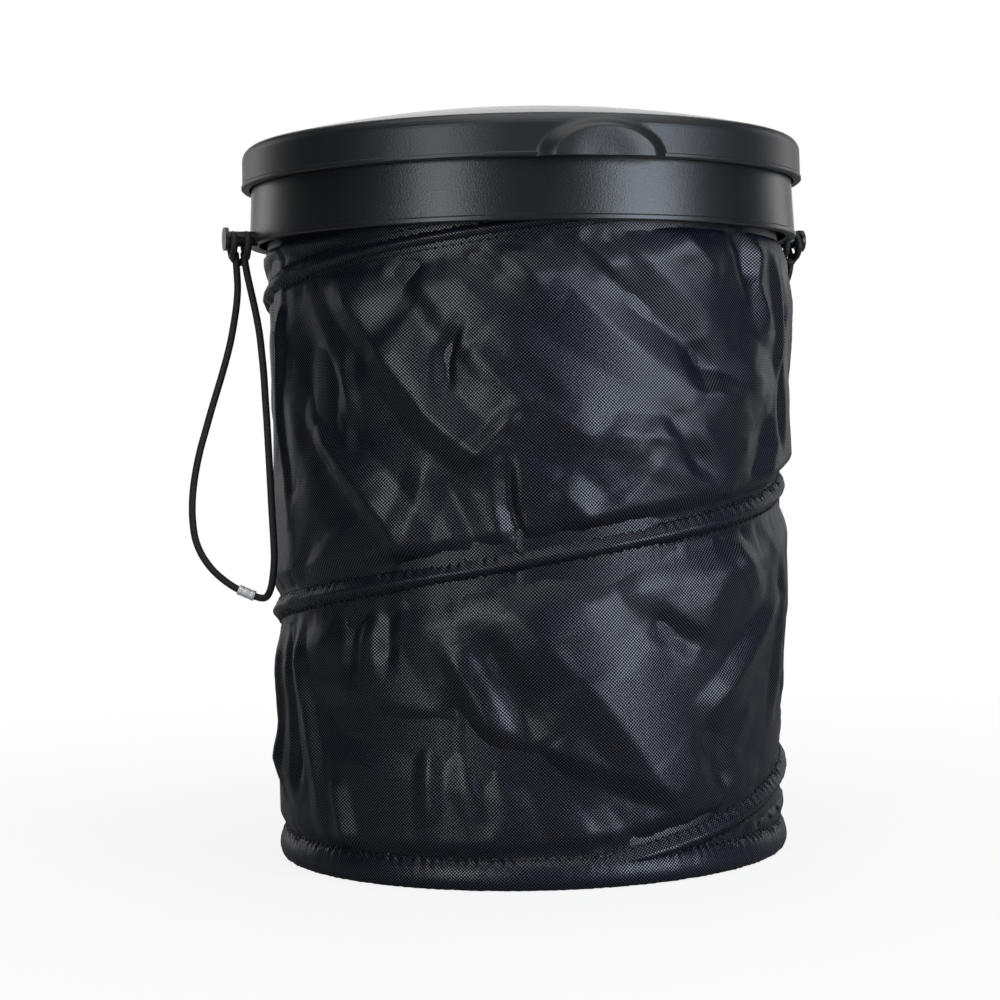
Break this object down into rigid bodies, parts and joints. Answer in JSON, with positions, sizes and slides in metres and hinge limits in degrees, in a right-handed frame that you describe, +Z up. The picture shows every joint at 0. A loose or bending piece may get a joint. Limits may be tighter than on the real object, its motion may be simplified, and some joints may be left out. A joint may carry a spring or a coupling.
{
  "type": "car trash bin",
  "caption": "Pop-up fabric car trash bin with a hinged domed lid, a moulded collar, a coiled spring wire that lets it press flat, and elastic cord loops to hang it by.",
  "frame": {"origin": "middle of the bag's floor, on the surface that the bin stands on", "axes": "+Z up; -Y towards the lid's thumb tab, +Y towards its hinge; the cord lugs point along -X and +X"},
  "size_m": [0.184, 0.1691, 0.21],
  "materials": {
    "lid_plastic": "satin, finely textured",
    "collar_plastic": "satin, finely textured",
    "inner_plastic": "matt",
    "steel": "bright drawn wire",
    "channel_tape": "woven nylon",
    "bag_cloth": "coated woven nylon with a soft sheen",
    "board": "matt",
    "cord": "braided elastic",
    "ferrule_metal": "crimped bright metal"
  },
  "bodies": {
    "base": {"bag_wall": "bag_cloth", "spiral_wire": "steel", "spiral_channel": "channel_tape", "bottom_hoop": "steel", "bottom_channel": "channel_tape", "bag_floor": "bag_cloth", "floor_binding": "channel_tape", "base_board": "board"},
    "rim": {"collar": "collar_plastic", "clamp_ring": "inner_plastic", "hinge_pin": "steel", "top_hoop": "steel", "top_channel": "channel_tape", "left_cord": "cord", "left_cord_knot": "cord", "left_ferrule": "ferrule_metal", "right_cord": "cord", "right_cord_knot": "cord", "right_ferrule": "ferrule_metal"},
    "lid": {"lid": "lid_plastic"}
  },
  "joints": [
    {"name": "bag_collapse", "type": "slide", "parent": "base", "child": "rim", "axis": [0, 0, 1], "range_m": [-0.15, 0], "stiffness_N_per_m": 40, "springref_m": 0.1, "deforming": ["bag_wall", "spiral_wire", "spiral_channel", "left_cord", "left_ferrule", "right_cord", "right_ferrule"]},
    {"name": "lid_hinge", "type": "hinge", "parent": "rim", "child": "lid", "pos_m": [0, 0.083, 0.187], "axis": [-1, 0, 0], "range_deg": [0, 105]}
  ]
}
